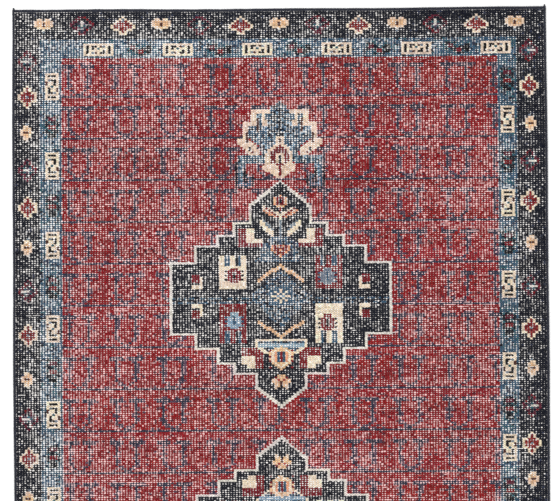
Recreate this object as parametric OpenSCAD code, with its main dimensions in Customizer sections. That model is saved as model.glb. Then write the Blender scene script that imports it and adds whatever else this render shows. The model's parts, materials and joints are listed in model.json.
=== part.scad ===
// Hand-knotted wool rug with two stepped medallions. X runs across the rug, +Y along it to the head end,
// Z up. The origin is the middle of the underside. The pattern is laid out in knots: one unit across is
// one knot column and one unit along is one knot row, counted from the knot in the middle of the rug.

/* [Rug] */
// Width over the selvedges
rug_w = 1676; // [1300:1:2100]
// Length over the end bindings
rug_l = 2591; // [2000:1:3200]
// Thickness of the cotton ground weave
ground_t = 2.4; // [2.2:0.1:4]
// Height of the wool pile above the ground weave
pile_h = 3.4; // [2.5:0.1:8]

/* [Edges] */
// Width of the overcast selvedge on each long side
selvedge_w = 9; // [8:0.5:14]
// Width of the overcast binding on each end
binding_w = 10; // [9:0.5:16]
// Diameter of the two warp cords inside a selvedge
cord_d = 2.2; // [1.5:0.1:2.4]
// How far the flat-woven end is turned under
hem_w = 36; // [25:1:60]
// Thickness of the turned-under flat weave
hem_t = 1; // [0.6:0.1:1.2]

/* [Fold] */
// Gap between the two halves at the fold line
fold_gap = 0.4; // [0.2:0.1:1]

/* [Hidden] */

$fn = 32;

// Knot grid
columns = 193;
rows = 393;
edge_h = ground_t + pile_h + 0.2;       // thickness of the overcast edges
pile_w = rug_w - 2 * selvedge_w;
pile_l = rug_l - 2 * binding_w;
kx = pile_w / columns;                  // one knot column, mm
ky = pile_l / rows;                     // one knot row, mm

// Band edges, in knots from the middle of the rug. The outer border is one column wider on the right.
pile_u = columns / 2;
pile_v = rows / 2;
inner_left = -(pile_u - 9);
inner_right = pile_u - 10;
inner_v = pile_v - 13;
field_u = pile_u - 17;
field_v = inner_v - 9;

// Places along the outer border: three motifs take turns, and the weaver's spacing drifts a little.
end_step = 14.33;
side_count = 19;
function end_u(k) = round(end_step * k);
function left_v(k) = round(172.6 - 18.98 * k + 6.3 * sin(22.5 * k) * (k <= 8 ? 1 : 0));
function right_v(k) = round(176.5 - 18.57 * k + (k <= 11 ? 3.1 * sin(360 * k / 11) : 0));
outer_end_v = pile_v - 6.5;
outer_left_u = -(pile_u - 4.5);
outer_right_u = pile_u - 5.5;

// Places along the inner border
panel_step = 29.02;
panel_side_step = 39.6;
panel_count = 9;
function panel_u(k) = round(-65.8 + panel_step * k);
function panel_left_v(k) = round(161 - panel_side_step * k + (k <= 5 ? 3 * sin(36 * k) : 0));
function panel_right_v(k) = round(143.5 - 39.15 * k);
inner_end_v = inner_v - 5;
inner_left_u = inner_left + 4.5;
inner_right_u = inner_right - 3.5;

// Field lattice: a line of blue knots every lattice_step rows, and T shapes hung under each line
lattice_step = 20;
lattice_top = 156;
tee_step = 17.2;
tee_pair = 7;
lap = 0.06;                             // lattice knots spread a little, so no two areas meet at a point

// Right-hand halves of the shapes drawn about the middle column, from top to bottom
medallion_mid = 59;
medallion_side = [
    [11.5, 103.5], [11.5, 95.5], [17.5, 95.5], [17.5, 89.5], [23.5, 89.5], [23.5, 84.5], [31.5, 84.5],
    [31.5, 76.5], [40.5, 76.5], [40.5, 41.5], [31.5, 41.5], [31.5, 34.5], [23.5, 34.5], [23.5, 27.5],
    [17.5, 27.5], [17.5, 22.5], [9.5, 22.5], [9.5, 16.5]
];
medallion_top = 116;
medallion_bottom = 6.8;
outline_t = 1;

// ---- helpers -------------------------------------------------------------------------------------

// A point given in knots, in mm
function mm(p) = [p.x * kx, p.y * ky];

// A closed outline given in knots
module knots(points) polygon([for (p = points) mm(p)]);

// A shape that is the same on both sides of the middle column
function both_sides(tip, side, foot) = concat(
    [[0, tip]], side, [[0, foot]], [for (i = [len(side) - 1:-1:0]) [-side[i].x, side[i].y]]
);

// One stepped edge of a stack of centred courses
function steps(widths, s) = concat(
    [[s * widths[0] / 2, -len(widths) / 2]],
    [for (r = [1:1:len(widths) - 1]) if (widths[r] != widths[r - 1])
        each [[s * widths[r - 1] / 2, r - len(widths) / 2], [s * widths[r] / 2, r - len(widths) / 2]]],
    [[s * widths[len(widths) - 1] / 2, len(widths) / 2]]
);
function reversed(p) = [for (i = [len(p) - 1:-1:0]) p[i]];
function stack(widths) = concat(steps(widths, 1), reversed(steps(widths, -1)));
function turned(points) = [for (p = points) [p.y, p.x]];
function placed(points, u, v) = [for (p = points) [p.x + u, p.y + v]];

// A block of knots, from its lowest corner
module block(u, v, w, h) knots([[u, v], [u + w, v], [u + w, v + h], [u, v + h]]);

// Centred courses of knots, listed from the foot end to the head end
module courses(u, v, widths) knots(placed(stack(widths), u, v));

// The same, with the courses standing along the rug and listed from the middle of the rug outwards
module upright(u, v, widths, s) knots(placed([for (p = turned(stack(widths))) [s * p.x, p.y]], u, v));

// Half of the rug, up to the fold line
module half_2d(s) translate([-rug_w, s > 0 ? fold_gap / 2 : -rug_l])
    square([2 * rug_w, rug_l - fold_gap / 2]);

// The wool knots of one shape in one half of the rug
module pile(s) translate([0, 0, ground_t]) linear_extrude(pile_h)
    intersection() { half_2d(s); children(); }

// Shapes drawn at the head end and repeated, mirrored, at the foot end
module at_end(s) mirror([0, s > 0 ? 0 : 1]) children();

// ---- borders -------------------------------------------------------------------------------------

module inner_edge_2d() knots([
    [inner_left, -inner_v], [inner_right, -inner_v], [inner_right, inner_v], [inner_left, inner_v]
]);
module field_edge_2d() block(-field_u, -field_v, 2 * field_u, 2 * field_v);

// Motifs number first, first + 3, and so on of the outer border: a shape for the ends and one for the sides
module outer_motifs(first, end_widths, side_widths) {
    for (k = [-6:6]) if ((k + 6) % 3 == first) {
        courses(end_u(k), outer_end_v, end_widths);
        courses(end_u(k), -outer_end_v, reversed(end_widths));
    }
    for (k = [0:side_count - 1]) {
        if ((k + 1) % 3 == first) upright(outer_left_u, left_v(k), side_widths, -1);
        if ((k + 1) % 3 == first) upright(outer_right_u, right_v(k), side_widths, 1);
    }
}
module flowers_2d() outer_motifs(0, [1, 1, 5, 7, 7, 7, 5], [1, 5, 9, 7, 3]);
module stars_2d() outer_motifs(1, [3, 3, 5, 7, 9, 9, 7, 5, 3], [3, 5, 9, 11, 9, 5, 3]);
module rosettes_2d() outer_motifs(2, [3, 3, 7, 9, 9, 7, 5, 3, 1], [5, 5, 9, 11, 9, 5, 3]);

module outer_border_2d() difference() {
    block(-pile_u, -pile_v, 2 * pile_u, 2 * pile_v);
    inner_edge_2d();
    flowers_2d();
    stars_2d();
    rosettes_2d();
}

module panels(end_w, end_h, side_w, side_h, shift) {
    for (k = [0:5], s = [-1, 1]) if (abs(panel_u(k + shift)) < field_u + 4)
        block(panel_u(k + shift) - end_w / 2, s * inner_end_v - end_h / 2, end_w, end_h);
    for (k = [0:panel_count - 1]) {
        v_left = panel_left_v(k + shift);
        v_right = panel_right_v(k - shift);
        if (abs(v_left) < field_v - side_h / 2)
            block(inner_left_u - side_w / 2, v_left - side_h / 2, side_w, side_h);
        if (abs(v_right) < field_v - side_h / 2)
            block(inner_right_u - side_w / 2, v_right - side_h / 2, side_w, side_h);
    }
}
module cartouches_2d() panels(11, 6, 5, 13, 0);
module latch_motifs_2d() panels(9, 6, 5, 11, 0.5);

module inner_border_2d() difference() {
    inner_edge_2d();
    field_edge_2d();
    cartouches_2d();
    latch_motifs_2d();
}

// ---- field ---------------------------------------------------------------------------------------

// Two T shapes side by side, and the chevron that joins their feet on the next line
module tee_pair_2d(u, v) {
    for (t = [0, tee_pair]) {
        block(u + t - 2.5 - lap, v - 6.5 - lap, 5 + 2 * lap, 2 + 2 * lap);
        block(u + t - 0.5 - lap, v - 16, 1 + 2 * lap, 10);
    }
    knots([
        [u - 0.5, v - 15.5], [u + 0.5, v - 15.5], [u + tee_pair / 2, v - 18.5],
        [u + tee_pair - 0.5, v - 15.5], [u + tee_pair + 0.5, v - 15.5], [u + tee_pair / 2, v - 20]
    ]);
}

module lattice_2d() difference() {
    intersection() {
        field_edge_2d();
        union() for (line = [-1:17]) {
            v = lattice_top - lattice_step * line;
            block(-field_u, v - 0.5 - lap, 2 * field_u, 1 + 2 * lap);
            for (k = [0:9]) tee_pair_2d(round(-77 + tee_step * k), v);
        }
    }
    field_motifs_2d();
}

module field_motifs_2d() for (s = [-1, 1]) at_end(s) {
    medallion_edge_2d(0);
    pendant_dome_shape();
    pendant_leaves_shape();
    pendant_shield_shape();
}

module field_2d() difference() {
    field_edge_2d();
    field_motifs_2d();
    lattice_2d();
}

// ---- pendant palmette, head end ------------------------------------------------------------------

// The same outline on the right (s = 1) or left (s = -1) of the middle column
module on_side(s, points) knots([for (p = points) [s * p.x, p.y]]);

// Dome, with the two scrolled arms that come out under it
module pendant_dome_shape() knots(both_sides(153.5, [
    [3.5, 149.5], [8.5, 147.5], [8.5, 141.5], [11.5, 141.5], [11.5, 136.5], [6.5, 131.5], [6.5, 127.5],
    [15.5, 127.5], [15.5, 116.5], [11.5, 116.5], [11.5, 118.5], [12.5, 118.5], [12.5, 123.5]
], 124.5));

// Stepped hooks beside the dome, slanting leaves under it, the bud, and the rim and boat round the shield
module pendant_leaves_shape() {
    for (s = [-1, 1]) {
        on_side(s, [
            [3.5, 149.5], [10.5, 149.5], [10.5, 143.5], [13.5, 143.5], [13.5, 135.5], [11.5, 135.5],
            [11.5, 141.5], [8.5, 141.5], [8.5, 147.5], [6.5, 147.5], [6.5, 141.5], [4.5, 141.5],
            [4.5, 147.5], [3.5, 147.5]
        ]);
        on_side(s, [
            [7.5, 130.5], [11.5, 135.5], [15.2, 135.5], [15.2, 132.5], [10.5, 127.5], [7.5, 127.5]
        ]);
    }
    block(-1.5, 133, 3, 3.5);
    difference() {
        knots(both_sides(134.5, [[5, 129], [5, 124], [6, 123], [6, 120.7]], 116.2));
        pendant_shield_shape();
    }
}

module pendant_shield_shape() difference() {
    knots(both_sides(132.5, [[3.5, 128.5], [3.5, 124.5]], 121.5));
    block(-1.5, 123.5, 3, 5);
}

// ---- medallion, head end -------------------------------------------------------------------------

function inset(p, t) = [max(0, p.x - t), p.y + (p.y > medallion_mid ? -t : t)];
module medallion_edge_2d(t) knots(both_sides(
    medallion_top - 1.4 * t, [for (p = medallion_side) inset(p, t)], medallion_bottom + 1.4 * t
));

module medallion_outline_2d() difference() {
    medallion_edge_2d(0);
    medallion_edge_2d(outline_t);
}

// A bent bar with its tip on the middle column
module chevron(tip, arm_u, arm_v, t) knots([
    [0, tip], [arm_u, arm_v], [arm_u, arm_v + t], [0, tip + t], [-arm_u, arm_v + t], [-arm_u, arm_v]
]);

// A square with three pegs on its upper (peg > 0) or lower edge
module pegged_square(s, low, high, peg) {
    block(17.5 * s - 5, low, 10, high - low);
    for (t = [-4, 0, 4]) block(17.5 * s + t - 1, peg > 0 ? high : low + peg, 2, abs(peg));
}

module bowl_2d() knots(both_sides(39.5, [[9.5, 39.5], [9.5, 36.5], [5.5, 32.5]], 32.5));
module bowl_inside_2d() knots(both_sides(38.5, [[8.5, 38.5], [8.5, 36.9], [4.5, 32.9]], 32.9));

module medallion_ivory_2d() {
    pegged_square(-1, 63.5, 74.5, 5);
    pegged_square(1, 43.5, 56.5, -6);
    chevron(96.5, 6, 100.5, 3);
    block(-0.5, 88.5, 1, 9.5);
    for (s = [-1, 1]) {
        on_side(s, [[6.5, 85.5], [12.5, 85.5], [12.5, 92.5], [9.5, 92.5], [9.5, 88], [6.5, 88]]);
        on_side(s, [[9.5, 25.5], [12.5, 25.5], [12.5, 27.5], [14.5, 27.5], [14.5, 31.5], [9.5, 31.5]]);
        on_side(s, [[28.5, 63.5], [32.5, 63.5], [32.5, 65.5], [29.5, 65.5], [29.5, 69.5], [28.5, 69.5]]);
        on_side(s, [[28.5, 56.5], [32.5, 56.5], [32.5, 54.5], [29.5, 54.5], [29.5, 50.5], [28.5, 50.5]]);
    }
    difference() {
        bowl_2d();
        bowl_inside_2d();
        medallion_gold_2d();
        shield_slot_2d();
    }
}

module shield_slot_2d() block(-1.5, 28.5, 3, 5);

module medallion_red_2d() {
    pegged_square(1, 63.5, 74.5, 5);
    pegged_square(-1, 43.5, 56.5, -6);
    courses(0, 82, [1, 3, 5, 7, 7, 5]);
    shield_slot_2d();
    for (s = [-1, 1]) {
        on_side(s, [[6.5, 83.5], [15.5, 83.5], [15.5, 92.5], [12.5, 92.5], [12.5, 85.5], [6.5, 85.5]]);
        difference() {
            on_side(s, [[6.5, 25.5], [9.5, 25.5], [9.5, 31.5], [14.5, 31.5], [14.5, 35.5], [6.5, 35.5]]);
            bowl_2d();
        }
        block(31 * s - 1.5, 66.5, 3, 4);
        block(31 * s - 1.5, 49.5, 3, 4);
    }
}

module medallion_gold_2d() {
    courses(0, 60, [3, 5, 7, 7, 7, 7, 7, 5, 3]);
    courses(0, 105.5, [1, 3, 5, 5, 5, 3, 1]);
    courses(0, 19.5, [3, 5, 7, 7, 5, 3]);
    chevron(73.5, 8.5, 66.5, 2);
    chevron(39.9, 8.5, 47, 2);
    difference() {
        knots(both_sides(37, [[4.5, 33], [4.5, 29]], 25));
        shield_slot_2d();
    }
}

module medallion_blue_2d() difference() {
    union() {
        knots(both_sides(72.5, [[11.5, 60]], 44.5));
        knots(both_sides(88.5, [[3.5, 88.5], [7, 84.5], [7, 79.5], [9.5, 76.5]], 76.5));
        bowl_inside_2d();
    }
    medallion_red_2d();
    medallion_gold_2d();
    medallion_ivory_2d();
}

module medallion_ground_2d() difference() {
    medallion_edge_2d(outline_t);
    medallion_blue_2d();
    medallion_red_2d();
    medallion_gold_2d();
    medallion_ivory_2d();
}

// ---- ground weave and edges ----------------------------------------------------------------------

hem_y = pile_l / 2 - hem_w;             // inner edge of the turned-under end
tongue_w = 0.6 * binding_w;             // how far the flat weave runs on into the binding
tongue_z = [0.6, 1.8];
groove_y = hem_y + 4;                   // the sewing line of the hem
groove = [0.8, 0.5];
stitch_l = 12;
stitch_step = 20;
cord_z = edge_h / 2;
cord_x = [rug_w / 2 - cord_z, rug_w / 2 - cord_z - cord_d - 0.5];
half_l = rug_l / 2 - fold_gap / 2;

// A profile in Y and Z, drawn for the head half and run across the rug
module across(s, w) mirror([0, s > 0 ? 0 : 1, 0]) translate([-w / 2, 0, 0])
    rotate([90, 0, 90]) linear_extrude(w) children();

module foundation(s) color("ivory") across(s, pile_w) polygon([
    [fold_gap / 2, 0], [hem_y, 0], [hem_y, hem_t], [pile_l / 2, hem_t],
    [pile_l / 2, ground_t], [fold_gap / 2, ground_t]
]);

module hem(s) color("linen") across(s, pile_w) polygon([
    [hem_y, 0], [groove_y, 0], [groove_y, groove.y], [groove_y + groove.x, groove.y],
    [groove_y + groove.x, 0], [pile_l / 2, 0], [pile_l / 2, tongue_z[0]],
    [pile_l / 2 + tongue_w, tongue_z[0]], [pile_l / 2 + tongue_w, tongue_z[1]],
    [pile_l / 2, tongue_z[1]], [pile_l / 2, hem_t], [hem_y, hem_t]
]);

module hem_stitches(s) color("white") mirror([0, s > 0 ? 0 : 1, 0])
    for (x = [-pile_w / 2 + stitch_step / 2:stitch_step:pile_w / 2 - stitch_l])
        translate([x, groove_y, 0]) cube([stitch_l, groove.x, groove.y]);

module end_binding(s) color("midnightblue") across(s, pile_w) difference() {
    translate([pile_l / 2, 0]) {
        square([binding_w - edge_h / 2, edge_h]);
        translate([binding_w - edge_h / 2, edge_h / 2]) circle(edge_h / 2);
    }
    translate([pile_l / 2 - 1, tongue_z[0]]) square([tongue_w + 1, tongue_z[1] - tongue_z[0]]);
}

// A profile in X and Z, drawn for the right side and run along one half of the rug
module along(side, s) mirror([side > 0 ? 0 : 1, 0, 0])
    translate([0, s > 0 ? fold_gap / 2 + half_l : -fold_gap / 2, 0])
        rotate([90, 0, 0]) linear_extrude(half_l) children();

module selvedge_cords(side, s) color("beige") along(side, s)
    for (x = cord_x) translate([x, cord_z]) circle(cord_d / 2);

module selvedge_wrap(side, s) color("midnightblue") along(side, s) difference() {
    union() {
        translate([pile_w / 2, 0]) square([selvedge_w - edge_h / 2, edge_h]);
        translate([rug_w / 2 - edge_h / 2, edge_h / 2]) circle(edge_h / 2);
    }
    for (x = cord_x) translate([x, cord_z]) circle(cord_d / 2 + 0.05);
}

// The warp cords end in a small knot at each corner
knot_r = 2.6;
module corner_knots(s) color("midnightblue") for (side = [-1, 1])
    translate([side * (rug_w / 2 - selvedge_w / 2), s * rug_l / 2, cord_z]) {
        rotate([-90 * s, 0, 0]) cylinder(h = knot_r, r = 0.7 * knot_r);
        translate([0, s * 1.5 * knot_r, 0]) sphere(knot_r);
    }

// ---- nodes ---------------------------------------------------------------------------------------

module outer_border(s) color("#20262f") pile(s) outer_border_2d();
module outer_rosettes(s) color("#ead9c4") pile(s) rosettes_2d();
module outer_stars(s) color("#6d2632") pile(s) stars_2d();
module outer_flowers(s) color("#d9b07c") pile(s) flowers_2d();
module inner_border(s) color("#557089") pile(s) inner_border_2d();
module cartouches(s) color("#eee0cc") pile(s) cartouches_2d();
module latch_motifs(s) color("#27303c") pile(s) latch_motifs_2d();
module field(s) color("#a32f36") pile(s) field_2d();
module field_lattice(s) color("#4b5673") pile(s) lattice_2d();
module pendant_dome(s) color("#557089") pile(s) at_end(s) difference() {
    pendant_dome_shape();
    pendant_leaves_shape();
    pendant_shield_shape();
}
module pendant_leaves(s) color("#ecd9bb") pile(s) at_end(s) pendant_leaves_shape();
module pendant_shield(s) color("#8f2830") pile(s) at_end(s) pendant_shield_shape();
module medallion_outline(s) color("#efe3d3") pile(s) at_end(s) medallion_outline_2d();
module medallion_ground(s) color("#20262f") pile(s) at_end(s) medallion_ground_2d();
module medallion_blue(s) color("#557089") pile(s) at_end(s) medallion_blue_2d();
module medallion_ivory(s) color("#eee0cc") pile(s) at_end(s) medallion_ivory_2d();
module medallion_red(s) color("#a8353a") pile(s) at_end(s) medallion_red_2d();
module medallion_gold(s) color("#e0b582") pile(s) at_end(s) medallion_gold_2d();

foundation(1);  // foundation_head
foundation(-1);  // foundation_foot
hem(1);  // hem_head
hem(-1);  // hem_foot
hem_stitches(1);  // hem_stitches_head
hem_stitches(-1);  // hem_stitches_foot
end_binding(1);  // end_binding_head
end_binding(-1);  // end_binding_foot
selvedge_cords(-1, 1);  // selvedge_cords_left_head
selvedge_cords(-1, -1);  // selvedge_cords_left_foot
selvedge_cords(1, 1);  // selvedge_cords_right_head
selvedge_cords(1, -1);  // selvedge_cords_right_foot
selvedge_wrap(-1, 1);  // selvedge_wrap_left_head
selvedge_wrap(-1, -1);  // selvedge_wrap_left_foot
selvedge_wrap(1, 1);  // selvedge_wrap_right_head
selvedge_wrap(1, -1);  // selvedge_wrap_right_foot
corner_knots(1);  // corner_knots_head
corner_knots(-1);  // corner_knots_foot
outer_border(1);  // outer_border_head
outer_border(-1);  // outer_border_foot
outer_rosettes(1);  // outer_rosettes_head
outer_rosettes(-1);  // outer_rosettes_foot
outer_stars(1);  // outer_stars_head
outer_stars(-1);  // outer_stars_foot
outer_flowers(1);  // outer_flowers_head
outer_flowers(-1);  // outer_flowers_foot
inner_border(1);  // inner_border_head
inner_border(-1);  // inner_border_foot
cartouches(1);  // cartouches_head
cartouches(-1);  // cartouches_foot
latch_motifs(1);  // latch_motifs_head
latch_motifs(-1);  // latch_motifs_foot
field(1);  // field_head
field(-1);  // field_foot
field_lattice(1);  // field_lattice_head
field_lattice(-1);  // field_lattice_foot
pendant_dome(1);  // pendant_dome_head
pendant_dome(-1);  // pendant_dome_foot
pendant_leaves(1);  // pendant_leaves_head
pendant_leaves(-1);  // pendant_leaves_foot
pendant_shield(1);  // pendant_shield_head
pendant_shield(-1);  // pendant_shield_foot
medallion_outline(1);  // medallion_outline_head
medallion_outline(-1);  // medallion_outline_foot
medallion_ground(1);  // medallion_ground_head
medallion_ground(-1);  // medallion_ground_foot
medallion_blue(1);  // medallion_blue_head
medallion_blue(-1);  // medallion_blue_foot
medallion_ivory(1);  // medallion_ivory_head
medallion_ivory(-1);  // medallion_ivory_foot
medallion_red(1);  // medallion_red_head
medallion_red(-1);  // medallion_red_foot
medallion_gold(1);  // medallion_gold_head
medallion_gold(-1);  // medallion_gold_foot
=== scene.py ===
"""Hand-knotted wool area rug with two stepped medallions, laid flat on a pale floor.

Every knot of the pile is its own closed tuft. Its colour area comes from the CAD node below it, the finer
drawing of the pattern is laid down by rule in knots, and the wear is the cotton ground that really shows
between the tufts. One unit across is one knot column (u) and one unit along is one knot row (v).
"""
import json
import math

import bpy
import numpy as np
from mathutils import Matrix, Vector
from mathutils.bvhtree import BVHTree


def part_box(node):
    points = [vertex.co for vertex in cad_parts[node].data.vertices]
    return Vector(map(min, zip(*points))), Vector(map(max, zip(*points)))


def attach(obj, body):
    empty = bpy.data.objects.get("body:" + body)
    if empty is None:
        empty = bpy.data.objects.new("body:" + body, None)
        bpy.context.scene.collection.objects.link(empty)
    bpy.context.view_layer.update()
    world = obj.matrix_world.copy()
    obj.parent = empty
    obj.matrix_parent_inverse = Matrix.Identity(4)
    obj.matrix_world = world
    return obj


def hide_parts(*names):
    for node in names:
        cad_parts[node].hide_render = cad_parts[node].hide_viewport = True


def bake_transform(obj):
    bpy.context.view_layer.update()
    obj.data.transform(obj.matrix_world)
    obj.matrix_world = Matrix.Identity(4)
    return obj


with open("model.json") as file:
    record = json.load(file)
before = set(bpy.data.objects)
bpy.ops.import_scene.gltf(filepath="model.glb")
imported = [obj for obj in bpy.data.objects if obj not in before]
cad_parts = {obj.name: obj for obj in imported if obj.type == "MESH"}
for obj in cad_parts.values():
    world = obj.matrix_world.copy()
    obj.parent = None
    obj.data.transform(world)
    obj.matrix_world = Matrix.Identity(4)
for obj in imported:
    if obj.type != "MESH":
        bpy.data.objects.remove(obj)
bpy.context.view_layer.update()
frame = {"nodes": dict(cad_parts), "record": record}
rng = np.random.default_rng(20)

# ---- sizes, from the frame where it has them -----------------------------------------------------------

COLS, ROWS = 193, 393
MID_COL, MID_ROW = COLS // 2, ROWS // 2
PILE_X, PILE_Y, PILE_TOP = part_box("outer_border_head")[1]
KX = 2 * PILE_X / COLS
KY = 2 * PILE_Y / ROWS
RUG_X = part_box("selvedge_wrap_right_head")[1][0]
RUG_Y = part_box("end_binding_head")[1][1]
EDGE_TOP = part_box("selvedge_wrap_right_head")[1][2]
# heights of the ground weave's two faces and of the knot backs below it
COTTON_TOP = 0.0043
COTTON_BOTTOM = 0.0010
BACK_Z = 0.0006
FOLD_START, FOLD_END = (0, -0.014, 0), (0, 0.014, 0)
# How deep the strip counted as border is, in knots: at an end, the 22 rows of both borders and 2 more, and
# at a side, their 17 columns.
BORDER_ROWS, BORDER_COLS = 24, 17
UP = (0, 0, 1)

NODES = sorted(frame["nodes"])


def base_of(node):
    return node.rsplit("_", 1)[0]


# ---- camera, lights and floor -------------------------------------------------------------------------

def look_at(obj, eye, target, roll=0.0):
    """Puts a camera or lamp at eye, turned to target, with its own x axis level apart from the roll."""
    z = (Vector(eye) - Vector(target)).normalized()
    level = Vector((math.cos(roll), math.sin(roll), 0))
    x = (level - z * z.dot(level)).normalized()
    y = z.cross(x)
    obj.matrix_world = Matrix((
        (x.x, y.x, z.x, eye[0]), (x.y, y.y, z.y, eye[1]), (x.z, y.z, z.z, eye[2]), (0, 0, 0, 1)
    ))


SENSOR = 36
VIEW_DISTANCE, VIEW_WIDTH = 5.0, 1.748
CAMERA_EYE, CAMERA_TARGET = (-0.005, 0.480, VIEW_DISTANCE), (-0.005, 0.5355, 0.0)
CAMERA_ROLL = math.radians(-0.38)

camera_data = bpy.data.cameras.new("camera")
camera = bpy.data.objects.new("camera", camera_data)
bpy.context.scene.collection.objects.link(camera)
camera_data.sensor_width = SENSOR
camera_data.lens = SENSOR * VIEW_DISTANCE / VIEW_WIDTH
camera_data.clip_end = 50
look_at(camera, CAMERA_EYE, CAMERA_TARGET, CAMERA_ROLL)
bpy.context.scene.camera = camera
bpy.context.scene.view_settings.view_transform = "Standard"


def area_light(name, eye, target, size, power):
    data = bpy.data.lights.new(name, "AREA")
    data.shape = "SQUARE"
    data.size = size
    data.energy = power
    obj = bpy.data.objects.new(name, data)
    bpy.context.scene.collection.objects.link(obj)
    look_at(obj, eye, target)


area_light("key_light", (-2.4, 2.8, 4.2), (0, 0.2, 0), 3.0, 110)
area_light("fill_light", (2.8, -2.6, 4.0), (0, 0, 0), 3.5, 48)

world = bpy.data.worlds.new("studio")
bpy.context.scene.world = world
world.use_nodes = True
world.node_tree.nodes["Background"].inputs["Color"].default_value = (1.0, 1.0, 1.0, 1)
world.node_tree.nodes["Background"].inputs["Strength"].default_value = 0.95


# ---- materials ----------------------------------------------------------------------------------------

def srgb(r, g, b):
    """A colour given in 0 to 255 as the linear values that the shaders take."""
    c = np.array([r, g, b]) / 255
    return np.where(c <= 0.04045, c / 12.92, ((c + 0.055) / 1.055) ** 2.4)


class Nodes:
    """A material with one Principled shader, and short calls that add and join its nodes."""

    def __init__(self, name, roughness, sheen=0.0, specular=0.2):
        self.material = bpy.data.materials.new(name)
        self.material.use_nodes = True
        self.tree = self.material.node_tree
        self.shader = self.tree.nodes["Principled BSDF"]
        self.shader.inputs["Roughness"].default_value = roughness
        self.shader.inputs["Specular IOR Level"].default_value = specular
        self.shader.inputs["Sheen Weight"].default_value = sheen
        self.shader.inputs["Sheen Roughness"].default_value = 0.6

    def join(self, a, b):
        self.tree.links.new(a, b)

    def position(self, scale):
        coords = self.tree.nodes.new("ShaderNodeTexCoord")
        mapping = self.tree.nodes.new("ShaderNodeMapping")
        mapping.inputs["Scale"].default_value = scale
        self.join(coords.outputs["Object"], mapping.inputs["Vector"])
        return mapping.outputs["Vector"]

    def noise(self, scale, detail=3.0, vector=(1, 1, 1)):
        node = self.tree.nodes.new("ShaderNodeTexNoise")
        node.inputs["Scale"].default_value = scale
        node.inputs["Detail"].default_value = detail
        self.join(self.position(vector), node.inputs["Vector"])
        return node.outputs["Fac"]

    def wave(self, scale, direction, distortion=0.5, vector=(1, 1, 1)):
        node = self.tree.nodes.new("ShaderNodeTexWave")
        node.wave_type = "BANDS"
        node.bands_direction = direction
        node.inputs["Scale"].default_value = scale
        node.inputs["Distortion"].default_value = distortion
        node.inputs["Detail Scale"].default_value = 2.0
        self.join(self.position(vector), node.inputs["Vector"])
        return node.outputs["Fac"]

    def ramp(self, value, stops):
        node = self.tree.nodes.new("ShaderNodeValToRGB")
        ends = node.color_ramp.elements
        while len(ends) < len(stops):
            ends.new(0.5)
        for end, (place, colour) in zip(ends, stops):
            end.position = place
            end.color = (*colour, 1)
        self.join(value, node.inputs["Fac"])
        return node.outputs["Color"]

    def mix(self, factor, a, b, kind="MULTIPLY"):
        node = self.tree.nodes.new("ShaderNodeMix")
        node.data_type = "RGBA"
        node.blend_type = kind
        node.inputs["Factor"].default_value = factor
        self.join(a, node.inputs[6])
        self.join(b, node.inputs[7])
        return node.outputs[2]

    def colour(self, value):
        self.join(value, self.shader.inputs["Base Color"])

    def attribute(self, name):
        node = self.tree.nodes.new("ShaderNodeAttribute")
        node.attribute_name = name
        return node.outputs["Color"]

    def bump(self, height, strength, distance):
        node = self.tree.nodes.new("ShaderNodeBump")
        node.inputs["Strength"].default_value = strength
        node.inputs["Distance"].default_value = distance
        self.join(height, node.inputs["Height"])
        self.join(node.outputs["Normal"], self.shader.inputs["Normal"])

    def rough(self, value, low, high):
        node = self.tree.nodes.new("ShaderNodeMapRange")
        node.inputs["To Min"].default_value = low
        node.inputs["To Max"].default_value = high
        self.join(value, node.inputs["Value"])
        self.join(node.outputs["Result"], self.shader.inputs["Roughness"])


# painted shade: a grey from the hollows between fibres, darkest, to their tops, lightest
HOLLOW_SHADE_GREYS = [(0.28, (0.72, 0.72, 0.72)), (0.72, (1.0, 1.0, 1.0))]


def wool(slot, sheen):
    """Clipped hand-spun wool: the knot's own yarn colour, broken up by single fibres, with painted shade in
    the hollows between them.
    """
    m = Nodes(slot, 0.92, sheen, 0.04)
    fibres = m.noise(900, 3, (1, 1, 2.5))
    # the yarn colour darkened by painted shade in the hollows between fibres
    m.colour(m.mix(0.85, m.attribute("yarn"), m.ramp(fibres, HOLLOW_SHADE_GREYS)))
    m.rough(fibres, 0.84, 0.98)
    m.bump(fibres, 0.5, 0.0006)
    return m.material


def spun(slot, colour, across, along):
    """Twisted yarn, in one colour, or in the colours of its mesh where none is given."""
    m = Nodes(slot, 0.9, 0.08, 0.15)
    twist = m.wave(520, "DIAGONAL", 2.0, (across, along, 1))
    fibres = m.noise(1100, 3)
    if colour is None:
        dye = m.attribute("yarn")
    else:
        dye = m.ramp(fibres, [(0.25, colour * 0.8), (0.8, colour)])
    # the dye darkened by painted shade in the grooves of the twist
    m.colour(m.mix(0.9, dye, m.ramp(twist, HOLLOW_SHADE_GREYS)))
    m.rough(fibres, 0.82, 0.97)
    m.bump(twist, 0.4, 0.0004)
    return m.material


def cotton(slot):
    """Cotton warp and weft: a fine plain weave with slubs, stained a little by the wool above it."""
    m = Nodes(slot, 0.88, 0.02, 0.1)
    warp = m.wave(360, "X", 0.6)
    weft = m.wave(300, "Y", 0.6)
    weave = m.mix(1.0, m.ramp(warp, [(0.0, (0.55,) * 3), (0.7, (1.0,) * 3)]),
                  m.ramp(weft, [(0.0, (0.6,) * 3), (0.7, (1.0,) * 3)]))
    slubs = m.mix(1.0, m.attribute("yarn"), m.ramp(m.noise(60, 4), [(0.3, (0.9,) * 3), (0.7, (1.0,) * 3)]))
    m.colour(m.mix(0.35, slubs, weave))
    m.rough(weft, 0.82, 0.95)
    m.bump(weave, 0.6, 0.0004)
    return m.material


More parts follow.
